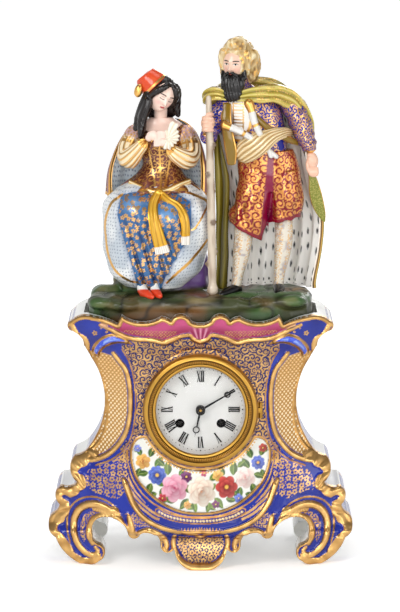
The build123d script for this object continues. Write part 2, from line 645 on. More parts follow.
with BuildPart() as strike_barrel:
    wheel(strike_spot, STRIKE_GREAT, GREAT_TRAIN, second_spot, WINDING_R * 2)
    disc(strike_spot, STRIKE_GREAT, DRUM_R)
    ring(strike_spot, STRIKE_DRUM, DRUM_R, DRUM_R - DRUM_WALL)
    disc(strike_spot, STRIKE_GREAT, WINDING_R + SHAFT_PLAY, Mode.SUBTRACT)
strike_barrel.part.label = "strike_barrel"
export_step(strike_barrel.part, "parts/strike_barrel.step")


def winding_arbor(spot):
    """Barrel arbor with the wound spring, ratchet and winding square."""
    disc(spot, (BACK_PLATE[0], WINDING_SQUARE[0]), WINDING_R)
    disc(spot, SPRING_PACK, SPRING_R)
    pitch = 2 * math.pi / RATCHET_TEETH
    points = []
    for tooth in range(RATCHET_TEETH):
        for radius, part in ((RATCHET_R, 0.0), (RATCHET_R, 0.15), (RATCHET_R * 0.86, 0.2), (RATCHET_R * 0.9, 0.5)):
            turn = (tooth + part) * pitch
            points.append((radius * math.cos(turn), radius * math.sin(turn)))
    with BuildSketch(at(spot, RATCHET[0])) as face:
        with BuildLine():
            Polyline(*points, close=True)
        make_face()
    extrude(to_extrude=face.sketch, amount=RATCHET[1] - RATCHET[0])
    with BuildSketch(at(spot, WINDING_SQUARE[0])) as face:
        Rectangle(WINDING_SIDE, WINDING_SIDE)
    extrude(to_extrude=face.sketch, amount=WINDING_SQUARE[1] - WINDING_SQUARE[0])


with BuildPart() as going_winding_arbor:
    winding_arbor(going_spot)
going_winding_arbor.part.label = "going_winding_arbor"
export_step(going_winding_arbor.part, "parts/going_winding_arbor.step")

with BuildPart() as strike_winding_arbor:
    winding_arbor(strike_spot)
strike_winding_arbor.part.label = "strike_winding_arbor"
export_step(strike_winding_arbor.part, "parts/strike_winding_arbor.step")

with BuildPart() as clicks:
    for spot, barrel in zip(click_spots, (strike_spot, going_spot)):
        reach = RATCHET_R + BODY_GAP + LEVER_WIDTH / 2
        nose = beyond(barrel, reach, 0 if spot[0] > 0 else 180)
        disc(spot, (FRONT_PLATE[1], CLICK[1]), LEVER_WIDTH)
        bar(spot, nose, CLICK, LEVER_WIDTH)
clicks.part.label = "clicks"
export_step(clicks.part, "parts/clicks.step")

with BuildPart() as intermediate_wheel:
    arbor(inter_spot, ARBOR_R * 0.8)
    pinion(inter_spot, INTER_PINION, GREAT_TRAIN, going_spot)
    wheel(inter_spot, INTER_WHEEL, INTER_TRAIN, centre_spot, ARBOR_R * 2)
intermediate_wheel.part.label = "intermediate_wheel"
export_step(intermediate_wheel.part, "parts/intermediate_wheel.step")

with BuildPart() as centre_wheel:
    disc(centre_spot, (BACK_PLATE[0], BACK_PLATE[1] + SHOULDER), PIVOT_R)
    disc(centre_spot, (BACK_PLATE[1] + SHOULDER, HAND_NUT[1]), CENTRE_R)
    pinion(centre_spot, CENTRE_PINION, INTER_TRAIN, inter_spot)
    wheel(centre_spot, CENTRE_WHEEL, CENTRE_TRAIN, third_spot, ARBOR_R * 2)
centre_wheel.part.label = "centre_wheel"
export_step(centre_wheel.part, "parts/centre_wheel.step")

with BuildPart() as third_wheel:
    arbor(third_spot, THIN_ARBOR_R, THIN_ARBOR_R)
    pinion(third_spot, THIRD_PINION, CENTRE_TRAIN, centre_spot)
    wheel(third_spot, THIRD_WHEEL, THIRD_TRAIN, escape_spot, ARBOR_R * 2)
third_wheel.part.label = "third_wheel"
export_step(third_wheel.part, "parts/third_wheel.step")

with BuildPart() as escape_wheel:
    arbor(escape_spot, THIN_ARBOR_R, THIN_ARBOR_R)
    pinion(escape_spot, ESCAPE_PINION, THIRD_TRAIN, third_spot)
    pitch = 2 * math.pi / ESCAPE_TEETH
    points = []
    for tooth in range(ESCAPE_TEETH):
        for radius, part in ((ESCAPE_ROOT_R, 0.0), (ESCAPE_R, 0.4), (ESCAPE_R, 0.5), (ESCAPE_ROOT_R, 0.6)):
            turn = (tooth + part) * pitch
            points.append((radius * math.cos(turn), radius * math.sin(turn)))
    with BuildSketch(at(escape_spot, ESCAPE_WHEEL[0])) as face:
        with BuildLine():
            Polyline(*points, close=True)
        make_face()
        with PolarLocations(ESCAPE_ROOT_R * 0.55, SPOKES):
            Circle(ESCAPE_ROOT_R * 0.24, mode=Mode.SUBTRACT)
    extrude(to_extrude=face.sketch, amount=ESCAPE_WHEEL[1] - ESCAPE_WHEEL[0])
escape_wheel.part.label = "escape_wheel"
export_step(escape_wheel.part, "parts/escape_wheel.step")

# Anchor with its crutch, the cock that holds it and the pendulum
pallet_span = (ESCAPE_WHEEL[0] - SHOULDER, ESCAPE_WHEEL[1] + SHOULDER)
with BuildPart() as pallet_anchor:
    disc(pallet_spot, (COCK_PLATE[0], FRONT_PLATE[1]), PIVOT_R)
    disc(pallet_spot, (COCK_PLATE[1] + SHOULDER, FRONT_PLATE[0] - SHOULDER), ARBOR_R)
    for side in (-1, 1):
        tip = beyond(escape_spot, ESCAPE_R + PALLET_GAP + LEVER_WIDTH / 2, 90 - side * 45)
        elbow = (side * LEVER_WIDTH * 3, PALLET_Z - LEVER_WIDTH / 2)
        bar(pallet_spot, elbow, pallet_span, LEVER_WIDTH)
        bar(elbow, tip, pallet_span, LEVER_WIDTH)
    bar(pallet_spot, (0, FORK_Z), CRUTCH, LEVER_WIDTH)
    for side in (-1, 1):
        prong = (side * (ROD_R + BODY_GAP + LEVER_WIDTH / 2), FORK_Z)
        bar((0, FORK_Z), prong, CRUTCH, LEVER_WIDTH)
        disc(prong, CRUTCH_FORK, LEVER_WIDTH / 2)
pallet_anchor.part.label = "pallet_anchor"
export_step(pallet_anchor.part, "parts/pallet_anchor.step")

cock_half = PALLET_HOLE_R * 2.6
with BuildPart() as back_cock:
    bar((-cock_half, PALLET_Z), (cock_half, PALLET_Z), COCK_PLATE, PALLET_HOLE_R * 1.4)
    for side in (-1, 1):
        disc((side * cock_half, PALLET_Z), COCK_LEG, PALLET_HOLE_R * 0.7)
    bar((0, PALLET_Z + LEVER_WIDTH * 2), (0, SUSPENSION_Z + LEVER_WIDTH), COCK_PLATE, PALLET_HOLE_R * 1.4)
    with BuildSketch(at((0, SUSPENSION_Z + LEVER_WIDTH), COCK_ARM[0])) as face:
        Rectangle(PALLET_HOLE_R * 1.4, LEVER_WIDTH * 2 - BODY_GAP * 2)
    extrude(to_extrude=face.sketch, amount=COCK_ARM[1] - COCK_ARM[0])
    disc(pallet_spot, COCK_PLATE, PIVOT_R + SHAFT_PLAY, Mode.SUBTRACT)
back_cock.part.label = "back_cock"
export_step(back_cock.part, "parts/back_cock.step")

rod_bottom = BOB_Z - BOB_R
with BuildPart() as pendulum_rod:
    with Locations((0, -PENDULUM_LEVEL, DIAL_Z + SUSPENSION_Z - LEVER_WIDTH * 1.5)):
        Box(LEVER_WIDTH * 2, BODY_GAP, LEVER_WIDTH * 3)
    with BuildSketch(Plane.XY.offset(DIAL_Z + rod_bottom - LEVER_WIDTH * 3)) as face:
        with Locations((0, -PENDULUM_LEVEL)):
            Circle(ROD_R)
    extrude(to_extrude=face.sketch, amount=SUSPENSION_Z - LEVER_WIDTH * 2 - rod_bottom + LEVER_WIDTH * 3)
pendulum_rod.part.label = "pendulum_rod"
export_step(pendulum_rod.part, "parts/pendulum_rod.step")

with BuildPart() as pendulum_bob:
    turned([(0, PENDULUM_LEVEL + BOB_HALF), (BOB_R * 0.5, PENDULUM_LEVEL + BOB_HALF * 0.8),
            (BOB_R, PENDULUM_LEVEL + BOB_HALF * 0.1), (BOB_R, PENDULUM_LEVEL - BOB_HALF * 0.1),
            (BOB_R * 0.5, PENDULUM_LEVEL - BOB_HALF * 0.8), (0, PENDULUM_LEVEL - BOB_HALF)], BOB_Z)
    with Locations((0, -PENDULUM_LEVEL, DIAL_Z + rod_bottom - LEVER_WIDTH / 2)):
        Cylinder(ROD_R * 2.4, LEVER_WIDTH)
    add(pendulum_rod.part, mode=Mode.SUBTRACT)
pendulum_bob.part.label = "pendulum_bob"
export_step(pendulum_bob.part, "parts/pendulum_bob.step")

# Motion work, dial and hands
with BuildPart() as cannon_pinion:
    disc(centre_spot, CANNON_PIPE, CANNON_R)
    pinion(centre_spot, CANNON_TEETH, MINUTE_TRAIN, minute_spot)
    disc(centre_spot, CANNON_PIPE, CENTRE_R, Mode.SUBTRACT)
cannon_pinion.part.label = "cannon_pinion"
export_step(cannon_pinion.part, "parts/cannon_pinion.step")

with BuildPart() as minute_wheel:
    wheel(minute_spot, MINUTE_WHEEL, MINUTE_TRAIN, centre_spot, ARBOR_R * 2.6)
    pinion(minute_spot, MINUTE_PINION, HOUR_TRAIN, centre_spot)
    disc(minute_spot, (MINUTE_WHEEL[0], MINUTE_PINION[1]), ARBOR_R + SHAFT_PLAY, Mode.SUBTRACT)
minute_wheel.part.label = "minute_wheel"
export_step(minute_wheel.part, "parts/minute_wheel.step")

with BuildPart() as hour_wheel:
    wheel(centre_spot, HOUR_WHEEL, HOUR_TRAIN, minute_spot, HOUR_PIPE_R)
    disc(centre_spot, HOUR_PIPE, HOUR_PIPE_R)
    disc(centre_spot, HOUR_PIPE, HOUR_BORE_R, Mode.SUBTRACT)
hour_wheel.part.label = "hour_wheel"
export_step(hour_wheel.part, "parts/hour_wheel.step")

with BuildPart() as dial:
    steps = [DIAL_HOLE_R + (DIAL_R - DIAL_HOLE_R) * step / DOME_STEPS for step in range(DOME_STEPS + 1)]
    crown = [(radius, DIAL_BACK + DIAL_EDGE + DIAL_RISE * (1 - (radius / DIAL_R) ** 2)) for radius in steps]
    turned(crown + [(DIAL_R, DIAL_BACK), (DIAL_HOLE_R, DIAL_BACK)])
    for spot in foot_spots:
        disc(spot, DIAL_FOOT, DIAL_FOOT_R)
    for spot in (going_spot, strike_spot):
        disc(spot, (DIAL_BACK, DIAL_BACK + OVERRUN), WINDING_HOLE_R, Mode.SUBTRACT)
dial.part.label = "dial"
export_step(dial.part, "parts/dial.step")


def ring_hand(span, degrees, reach, ring_at, ring_r, bore):
    """Hand with an open ring near its tip, turned clockwise from twelve."""
    turn = math.radians(degrees)
    plane = Plane(origin=(0, -span[0], DIAL_Z), x_dir=(math.cos(turn), 0, -math.sin(turn)), z_dir=(0, -1, 0))
    with BuildSketch(plane) as face:
        with BuildLine():
            Polyline((-HAND_STEM, 0), (-HAND_STEM / 2, ring_at), (0, reach), (HAND_STEM / 2, ring_at),
                     (HAND_STEM, 0), close=True)
        make_face()
        Circle(HAND_BOSS_R)
        with Locations((0, ring_at)):
            Circle(ring_r)
            Circle(ring_r - HAND_RING_WIDTH, mode=Mode.SUBTRACT)
        Circle(bore, mode=Mode.SUBTRACT)
    extrude(to_extrude=face.sketch, amount=span[1] - span[0])


with BuildPart() as hour_hand:
    ring_hand(HOUR_HAND, HOUR_DEGREES, HOUR_REACH, HOUR_RING_AT, HOUR_RING_R, HOUR_PIPE_R)
hour_hand.part.label = "hour_hand"
export_step(hour_hand.part, "parts/hour_hand.step")

with BuildPart() as minute_hand:
    ring_hand(MINUTE_HAND, MINUTE_DEGREES, MINUTE_REACH, MINUTE_RING_AT, MINUTE_RING_R, CANNON_R)
minute_hand.part.label = "minute_hand"
export_step(minute_hand.part, "parts/minute_hand.step")

with BuildPart() as hand_nut:
    ring(centre_spot, HAND_NUT, HAND_BOSS_R, CENTRE_R)
hand_nut.part.label = "hand_nut"
export_step(hand_nut.part, "parts/hand_nut.step")

# Strike train, from the second wheel to the fly
with BuildPart() as second_strike_wheel:
    disc(second_spot, (FRONT_PLATE[0] - SHOULDER, FRONT_PLATE[1]), PIVOT_R)
    disc(second_spot, (COUNT_WHEEL[0], FRONT_PLATE[0] - SHOULDER), ARBOR_R)
    pinion(second_spot, SECOND_PINION, GREAT_TRAIN, strike_spot)
    wheel(second_spot, SECOND_WHEEL, SECOND_TRAIN, pin_spot, ARBOR_R * 2)
    disc(second_spot, COUNT_WHEEL, COUNT_R)
    with BuildSketch(at(second_spot, COUNT_WHEEL[0])) as face:
        with PolarLocations(COUNT_R, SPOKES + 6):
            Rectangle(LEVER_WIDTH, LEVER_WIDTH / 2)
    extrude(to_extrude=face.sketch, amount=COUNT_WHEEL[1] - COUNT_WHEEL[0], mode=Mode.SUBTRACT)
second_strike_wheel.part.label = "second_strike_wheel"
export_step(second_strike_wheel.part, "parts/second_strike_wheel.step")

with BuildPart() as pin_wheel:
    arbor(pin_spot, ARBOR_R * 0.7)
    pinion(pin_spot, PIN_PINION, SECOND_TRAIN, second_spot)
    wheel(pin_spot, PIN_WHEEL, PIN_TRAIN, stop_spot, ARBOR_R * 2)
    disc(pin_spot, PIN_WHEEL, PIN_RING + PIN_R)
    with BuildSketch(at(pin_spot, PIN_LENGTH[0])) as face:
        with PolarLocations(PIN_RING, 10):
            Circle(PIN_R)
    extrude(to_extrude=face.sketch, amount=PIN_LENGTH[1] - PIN_LENGTH[0])
pin_wheel.part.label = "pin_wheel"
export_step(pin_wheel.part, "parts/pin_wheel.step")

with BuildPart() as stop_wheel:
    arbor(stop_spot, THIN_ARBOR_R, THIN_ARBOR_R)
    pinion(stop_spot, STOP_PINION, PIN_TRAIN, pin_spot)
    wheel(stop_spot, STOP_WHEEL, STOP_TRAIN, warn_spot, ARBOR_R * 1.2)
stop_wheel.part.label = "stop_wheel"
export_step(stop_wheel.part, "parts/stop_wheel.step")

with BuildPart() as warning_wheel:
    arbor(warn_spot, THIN_ARBOR_R * 0.9, THIN_ARBOR_R * 0.9)
    pinion(warn_spot, WARN_PINION, STOP_TRAIN, stop_spot)
    wheel(warn_spot, WARN_WHEEL, WARN_TRAIN, fly_spot, ARBOR_R * 1.2)
warning_wheel.part.label = "warning_wheel"
export_step(warning_wheel.part, "parts/warning_wheel.step")

with BuildPart() as fly:
    arbor(fly_spot, THIN_ARBOR_R * 0.8, THIN_ARBOR_R * 0.8)
    pinion(fly_spot, FLY_PINION, WARN_TRAIN, warn_spot)
    with BuildSketch(at(fly_spot, FLY_VANE[0])) as face:
        Rectangle(FLY_R * 2, FLY_THICK, rotation=20)
        Circle(ARBOR_R)
    extrude(to_extrude=face.sketch, amount=FLY_VANE[1] - FLY_VANE[0])
fly.part.label = "fly"
export_step(fly.part, "parts/fly.step")

# Hammer, bell and bell stand
head_spot = beyond(centre_spot, BELL_R + STRIKE_GAP + HAMMER_HEAD_R, HAMMER_ANGLE)
tail_turn = math.degrees(math.atan2(pin_spot[1] - HAMMER_Z, pin_spot[0] - HAMMER_X))
with BuildPart() as hammer:
    disc(hammer_spot, (HAMMER_ARBOR[0], FRONT_PLATE[0] - SHOULDER), ARBOR_R)
    disc(hammer_spot, (HAMMER_ARBOR[1], FRONT_PLATE[1]), PIVOT_R)
    bar(hammer_spot, head_spot, HAMMER_ARM, LEVER_WIDTH)
    disc(head_spot, HAMMER_HEAD, HAMMER_HEAD_R)
    bar(hammer_spot, beyond(hammer_spot, TAIL_LENGTH, tail_turn), HAMMER_TAIL, LEVER_WIDTH * 0.8)
hammer.part.label = "hammer"
export_step(hammer.part, "parts/hammer.step")

bell_profile_shares = [(0.0, 1.0), (0.4, 0.97), (0.7, 0.8), (0.9, 0.45), (0.97, 0.15), (1.0, 0.0)]
bell_depth = BELL_TOP - BELL_MOUTH
with BuildPart() as bell:
    skin = [(BELL_R * out, BELL_MOUTH + bell_depth * up) for out, up in bell_profile_shares]
    lining = [((BELL_R - BELL_WALL) * out, BELL_MOUTH + (bell_depth + BELL_WALL) * up)
              for out, up in reversed(bell_profile_shares)]
    turned(skin + lining)
    disc(centre_spot, BELL_STUD, ARBOR_R, Mode.SUBTRACT)
bell.part.label = "bell"
export_step(bell.part, "parts/bell.step")

with BuildPart() as bell_stand:
    disc((BELL_POST_X, BELL_POST_Z), BELL_POST, BELL_POST_R)
    bar((BELL_POST_X, BELL_POST_Z), centre_spot, BELL_ARM, BELL_POST_R * 2)
    disc(centre_spot, BELL_STUD, ARBOR_R)
    disc(centre_spot, (BELL_TOP + BELL_WALL, BELL_ARM[0]), BELL_POST_R)
    disc(centre_spot, (BELL_STUD[0], BELL_TOP), BELL_POST_R)
    add(bell.part, mode=Mode.SUBTRACT)
bell_stand.part.label = "bell_stand"
export_step(bell_stand.part, "parts/bell_stand.step")

# Figure group: forms as shares of the standing height, x to the right, y to the back, z above the rock
ROCK_BOTTOM = POCKET_FLOOR + BODY_GAP
ROCK_TOP = 249.0
rock_edge_shares = [(1.0, -0.40), (0.945, -0.64), (0.80, -0.80), (0.57, -0.90), (0.29, -0.97), (0.0, -1.0),
                    (-0.30, -0.97), (-0.57, -0.90), (-0.80, -0.80), (-0.95, -0.62), (-1.0, -0.36), (-1.0, 0.40),
                    (-0.80, 0.96), (-0.40, 1.0), (0.05, 0.97), (0.42, 1.0), (0.80, 0.96), (1.0, 0.42)]
rock_level_shares = [(0.0, 1.0), (0.5, 0.985), (0.85, 0.96), (1.0, 0.91)]
ROCK_HALF_W = 104.5
ROCK_HALF_D = 48.5
FOLD_COUNT = 7
FALL_FROM = 92.0
CLOAK_WALL = 2.4
fold_depths = [2.6, 2.6, 2.6, 2.4, 1.5, 0.6]
rock_seat_shares = [
    (-0.0375, -0.1500, 0.0583, 0.1917, 0.1250),
    (0.1083, -0.1500, 0.0625, 0.1750, 0.1125),
    (0.2125, -0.1458, 0.0625, 0.1500, 0.0958),
    (0.3042, -0.1458, 0.0625, 0.1083, 0.0708),
]
skirt_shares = [
    (0.0333, -0.1750, -0.0333, 0.1000, 0.0917),
    (0.0792, -0.1750, -0.0292, 0.1583, 0.1167),
    (0.1708, -0.1750, -0.0208, 0.1917, 0.1333),
    (0.2625, -0.1708, -0.0250, 0.2021, 0.1500),
    (0.3375, -0.1667, -0.0167, 0.1917, 0.1375),
    (0.4000, -0.1625, 0.0083, 0.1417, 0.0917),
    (0.4292, -0.1583, 0.0167, 0.1000, 0.0625),
]
bodice_shares = [
    (0.4042, -0.1583, 0.0167, 0.1042, 0.0667),
    (0.4542, -0.1562, 0.0167, 0.0833, 0.0583),
    (0.4958, -0.1521, 0.0125, 0.0729, 0.0542),
    (0.5542, -0.1521, 0.0083, 0.0833, 0.0604),
    (0.6125, -0.1521, 0.0042, 0.1000, 0.0583),
    (0.6500, -0.1500, 0.0083, 0.0917, 0.0458),
    (0.6708, -0.1500, 0.0083, 0.0458, 0.0333),
]
seated_head_shares = [
    (0.6583, -0.1521, 0.0000, 0.0271, 0.0271),
    (0.6875, -0.1500, -0.0042, 0.0250, 0.0271),
    (0.7042, -0.1521, -0.0250, 0.0292, 0.0375),
    (0.7333, -0.1479, -0.0292, 0.0437, 0.0521),
    (0.7667, -0.1417, -0.0250, 0.0500, 0.0604),
    (0.8042, -0.1375, -0.0208, 0.0479, 0.0563),
    (0.8333, -0.1333, -0.0167, 0.0292, 0.0333),
]
hair_shares = [
    (0.6458, -0.1583, 0.0375, 0.0833, 0.0292),
    (0.6917, -0.1542, 0.0250, 0.0833, 0.0458),
    (0.7333, -0.1458, 0.0083, 0.0729, 0.0625),
    (0.7792, -0.1375, -0.0042, 0.0688, 0.0708),
    (0.8208, -0.1333, -0.0042, 0.0563, 0.0604),
    (0.8500, -0.1292, -0.0042, 0.0292, 0.0333),
]
face_opening_shares = [
    (0.6208, -0.1437, -0.0833, 0.0375, 0.0583),
    (0.7125, -0.1437, -0.0875, 0.0417, 0.0625),
    (0.7792, -0.1396, -0.0917, 0.0417, 0.0583),
    (0.8167, -0.1354, -0.0917, 0.0292, 0.0458),
]
left_ringlet_shares = [
    (-0.2250, 0.0125, 0.7208, 0.0208),
    (-0.2458, 0.0000, 0.6625, 0.0208),
    (-0.2500, -0.0167, 0.6125, 0.0146),
]
front_ringlet_shares = [
    (-0.2125, -0.0333, 0.7125, 0.0167),
    (-0.2250, -0.0500, 0.6500, 0.0167),
    (-0.2292, -0.0583, 0.5917, 0.0125),
]
fez_shares = [
    (-0.1750, -0.0042, 0.7917, 0.0575),
    (-0.1958, 0.0000, 0.8187, 0.0508),
    (-0.2188, 0.0000, 0.8479, 0.0429),
]
tassel_shares = [
    (-0.2208, -0.0375, 0.8000, 0.0104),
    (-0.2333, -0.0375, 0.7792, 0.0167),
    (-0.2375, -0.0375, 0.7583, 0.0125),
]
cape_shares = [
    (0.3708, -0.1667, 0.0667, 0.1833, 0.0750),
    (0.4625, -0.1667, 0.0583, 0.1833, 0.0750),
    (0.5458, -0.1583, 0.0458, 0.1667, 0.0708),
    (0.6208, -0.1521, 0.0333, 0.1375, 0.0583),
    (0.6625, -0.1500, 0.0250, 0.0917, 0.0417),
]
cape_lining_shares = [
    (0.3375, -0.1667, -0.0250, 0.1708, 0.1292),
    (0.4625, -0.1667, -0.0333, 0.1667, 0.1292),
    (0.5458, -0.1583, -0.0333, 0.1500, 0.1167),
    (0.6125, -0.1521, -0.0333, 0.1250, 0.0917),
    (0.6458, -0.1500, -0.0333, 0.0750, 0.0625),
]
seated_arm_left_shares = [
    (-0.2292, 0.0125, 0.6292, 0.0354),
    (-0.2583, 0.0000, 0.5792, 0.0396),
    (-0.2750, -0.0250, 0.5208, 0.0375),
    (-0.2500, -0.0625, 0.5125, 0.0333),
    (-0.1917, -0.0917, 0.5750, 0.0229),
    (-0.1500, -0.0958, 0.6208, 0.0208),
]
seated_arm_right_shares = [
    (-0.0708, 0.0125, 0.6250, 0.0354),
    (-0.0500, 0.0000, 0.5792, 0.0396),
    (-0.0417, -0.0250, 0.5292, 0.0375),
    (-0.0625, -0.0625, 0.5292, 0.0333),
    (-0.1000, -0.0917, 0.5750, 0.0229),
    (-0.1292, -0.1000, 0.6125, 0.0208),
]
kerchief_shares = [
    (0.5708, -0.1042, -0.1125, 0.0208, 0.0167),
    (0.5917, -0.1042, -0.1167, 0.0417, 0.0208),
    (0.6167, -0.1042, -0.1167, 0.0458, 0.0229),
    (0.6417, -0.1000, -0.1083, 0.0250, 0.0167),
]
sash_fall_left_shares = [
    (-0.1542, -0.0625, 0.4042, 0.0187),
    (-0.1583, -0.1250, 0.3625, 0.0208),
    (-0.1583, -0.1708, 0.2875, 0.0208),
    (-0.1542, -0.1750, 0.2125, 0.0229),
    (-0.1458, -0.1583, 0.1625, 0.0250),
]
sash_fall_right_shares = [
    (-0.1500, -0.0625, 0.3958, 0.0187),
    (-0.1083, -0.1292, 0.3583, 0.0187),
    (-0.0708, -0.1625, 0.2875, 0.0187),
    (-0.0583, -0.1542, 0.2125, 0.0187),
    (-0.0542, -0.1458, 0.1708, 0.0187),
]
seated_foot_left_shares = [
    (-0.2167, -0.0917, 0.0792, 0.0208),
    (-0.2188, -0.1083, 0.0417, 0.0208),
    (-0.2125, -0.1333, 0.0208, 0.0192),
    (-0.1917, -0.1708, 0.0083, 0.0125),
]
seated_foot_right_shares = [
    (-0.1833, -0.1000, 0.0708, 0.0187),
    (-0.1812, -0.1167, 0.0375, 0.0187),
    (-0.1708, -0.1417, 0.0167, 0.0167),
    (-0.1542, -0.1708, 0.0083, 0.0108),
]
cloak_shares = [
    (0.6208, 0.2221, 0.0167, 0.1792, 0.0875),
    (0.7333, 0.1958, 0.0125, 0.1583, 0.0792),
    (0.7958, 0.1792, 0.0083, 0.1375, 0.0708),
    (0.8292, 0.1750, 0.0083, 0.0750, 0.0542),
]
cloak_lining_shares = [
    (0.5458, 0.2313, -0.0563, 0.1625, 0.1333),
    (0.6292, 0.2208, -0.0583, 0.1542, 0.1292),
    (0.6958, 0.2083, -0.0583, 0.1167, 0.1083),
]
cloak_fall_shares = [
    (0.0017, 0.2625, 0.0417, 0.1792, 0.1042),
    (0.0354, 0.2625, 0.0417, 0.1792, 0.1042),
    (0.1708, 0.2729, 0.0375, 0.1917, 0.1021),
    (0.2958, 0.2708, 0.0333, 0.1958, 0.1000),
    (0.4625, 0.2417, 0.0271, 0.1833, 0.0917),
    (0.6375, 0.2208, 0.0187, 0.1762, 0.0846),
]
hips_shares = [
    (0.4042, 0.2625, -0.0125, 0.1125, 0.0667),
    (0.4708, 0.2667, -0.0125, 0.1167, 0.0708),
    (0.5458, 0.2500, -0.0125, 0.1083, 0.0646),
]
breeches_left_shares = [
    (0.2208, -0.0167, 0.4292, 0.0625),
    (0.2000, -0.0250, 0.3375, 0.0667),
    (0.1792, -0.0333, 0.2625, 0.0646),
    (0.1667, -0.0375, 0.2167, 0.0583),
]
breeches_right_shares = [
    (0.3208, -0.0125, 0.4292, 0.0583),
    (0.3292, -0.0167, 0.3583, 0.0625),
    (0.3250, -0.0167, 0.2958, 0.0604),
    (0.3208, -0.0167, 0.2583, 0.0542),
]
jacket_shares = [
    (0.5208, 0.2375, -0.0125, 0.0958, 0.0583),
    (0.6083, 0.2250, -0.0125, 0.1000, 0.0646),
    (0.6917, 0.2000, -0.0125, 0.1083, 0.0667),
    (0.7542, 0.1792, -0.0083, 0.0958, 0.0583),
    (0.7958, 0.1625, -0.0125, 0.0500, 0.0417),
    (0.8208, 0.1500, -0.0167, 0.0333, 0.0333),
]
leg_left_shares = [
    (0.1667, -0.0375, 0.2375, 0.0354),
    (0.1583, -0.0417, 0.1583, 0.0317),
    (0.1417, -0.0458, 0.0625, 0.0208),
    (0.1333, -0.0500, 0.0167, 0.0208),
]
shoe_left_shares = [
    (0.1458, -0.0333, 0.0142, 0.0200),
    (0.1167, -0.0667, 0.0133, 0.0192),
    (0.0750, -0.1167, 0.0075, 0.0125),
]
leg_right_shares = [
    (0.3208, -0.0167, 0.2792, 0.0333),
    (0.3167, -0.0208, 0.1708, 0.0317),
    (0.3042, -0.0250, 0.0625, 0.0208),
    (0.3000, -0.0292, 0.0167, 0.0208),
]
shoe_right_shares = [
    (0.3000, -0.0083, 0.0150, 0.0200),
    (0.3000, -0.0500, 0.0142, 0.0200),
    (0.2958, -0.1042, 0.0083, 0.0133),
]
standing_head_shares = [
    (0.7375, 0.1187, -0.0625, 0.0208, 0.0208),
    (0.7667, 0.1187, -0.0583, 0.0417, 0.0375),
    (0.8000, 0.1229, -0.0500, 0.0479, 0.0458),
    (0.8375, 0.1271, -0.0437, 0.0500, 0.0563),
    (0.8792, 0.1292, -0.0396, 0.0521, 0.0604),
    (0.9208, 0.1313, -0.0375, 0.0500, 0.0583),
    (0.9542, 0.1333, -0.0333, 0.0396, 0.0458),
    (0.9708, 0.1333, -0.0333, 0.0208, 0.0250),
]
headcloth_shares = [
    (0.8000, 0.1875, 0.0083, 0.0458, 0.0375),
    (0.8375, 0.1708, -0.0042, 0.0667, 0.0625),
    (0.8875, 0.1583, -0.0125, 0.0771, 0.0750),
    (0.9375, 0.1542, -0.0125, 0.0729, 0.0708),
    (0.9750, 0.1542, -0.0125, 0.0521, 0.0521),
    (0.9996, 0.1542, -0.0125, 0.0208, 0.0208),
]
brow_opening_shares = [
    (0.7875, 0.1208, -0.1000, 0.0417, 0.0667),
    (0.8583, 0.1208, -0.1000, 0.0458, 0.0667),
    (0.9125, 0.1208, -0.1042, 0.0437, 0.0625),
    (0.9458, 0.1250, -0.1083, 0.0292, 0.0458),
]
standing_arm_right_shares = [
    (0.3417, -0.0083, 0.7625, 0.0417),
    (0.3792, -0.0167, 0.6792, 0.0500),
    (0.4042, -0.0208, 0.6042, 0.0437),
    (0.4208, -0.0333, 0.5417, 0.0292),
    (0.4292, -0.0375, 0.5000, 0.0283),
    (0.4333, -0.0375, 0.4583, 0.0187),
]
standing_arm_left_shares = [
    (0.1000, -0.0250, 0.7375, 0.0375),
    (0.0625, -0.0375, 0.6625, 0.0396),
    (0.0375, -0.0583, 0.6167, 0.0333),
    (0.0271, -0.0833, 0.6375, 0.0292),
    (0.0271, -0.1042, 0.6625, 0.0292),
]
waist_sash_shares = [
    (0.5167, 0.2292, -0.0125, 0.1083, 0.0729),
    (0.5625, 0.2292, -0.0125, 0.1167, 0.0813),
    (0.6083, 0.2292, -0.0125, 0.1083, 0.0729),
]
pistol_low_shares = [
    (0.0833, -0.0875, 0.6542, 0.0142),
    (0.1167, -0.0917, 0.6333, 0.0117),
    (0.2083, -0.1000, 0.5875, 0.0108),
    (0.3000, -0.0917, 0.5417, 0.0092),
]
pistol_high_shares = [
    (0.1750, -0.0833, 0.7292, 0.0142),
    (0.1917, -0.0875, 0.6917, 0.0117),
    (0.2250, -0.1000, 0.6208, 0.0108),
    (0.2708, -0.1000, 0.5417, 0.0092),
]
staff_shares = [
    (0.0312, -0.1125, 0.7667, 0.0096),
    (0.0333, -0.1125, 0.6500, 0.0121),
    (0.0396, -0.1167, 0.3792, 0.0138),
    (0.0437, -0.1167, 0.0875, 0.0146),
    (0.0458, -0.1167, 0.0375, 0.0200),
    (0.0458, -0.1167, 0.0083, 0.0167),
]


def level_loft(rows, mode=Mode.ADD, ruled=False):
    """Form through level ellipses: height, x, y and the two half widths."""
    sections = []
    for height, x, y, wide, deep in rows:
        with BuildSketch(Plane.XY.offset(ROCK_TOP + height * FIGURE_HEIGHT)) as face:
            with Locations((x * FIGURE_HEIGHT, y * FIGURE_HEIGHT)):
                Ellipse(wide * FIGURE_HEIGHT, deep * FIGURE_HEIGHT)
        sections.append(face.sketch)
    loft(sections=sections, ruled=ruled, mode=mode)


def limb(rows, mode=Mode.ADD, ruled=False):
    """Round form through circles square to its own line: x, y, height and half width."""
    spots = [Vector(x, y, height) * FIGURE_HEIGHT + Vector(0, 0, ROCK_TOP) for x, y, height, half in rows]
    sections = []
    for index, spot in enumerate(spots):
        run = spots[min(index + 1, len(spots) - 1)] - spots[max(index - 1, 0)]
        with BuildSketch(Plane(origin=spot, z_dir=run.normalized())) as face:
            Circle(rows[index][3] * FIGURE_HEIGHT)
        sections.append(face.sketch)
    loft(sections=sections, ruled=ruled, mode=mode)


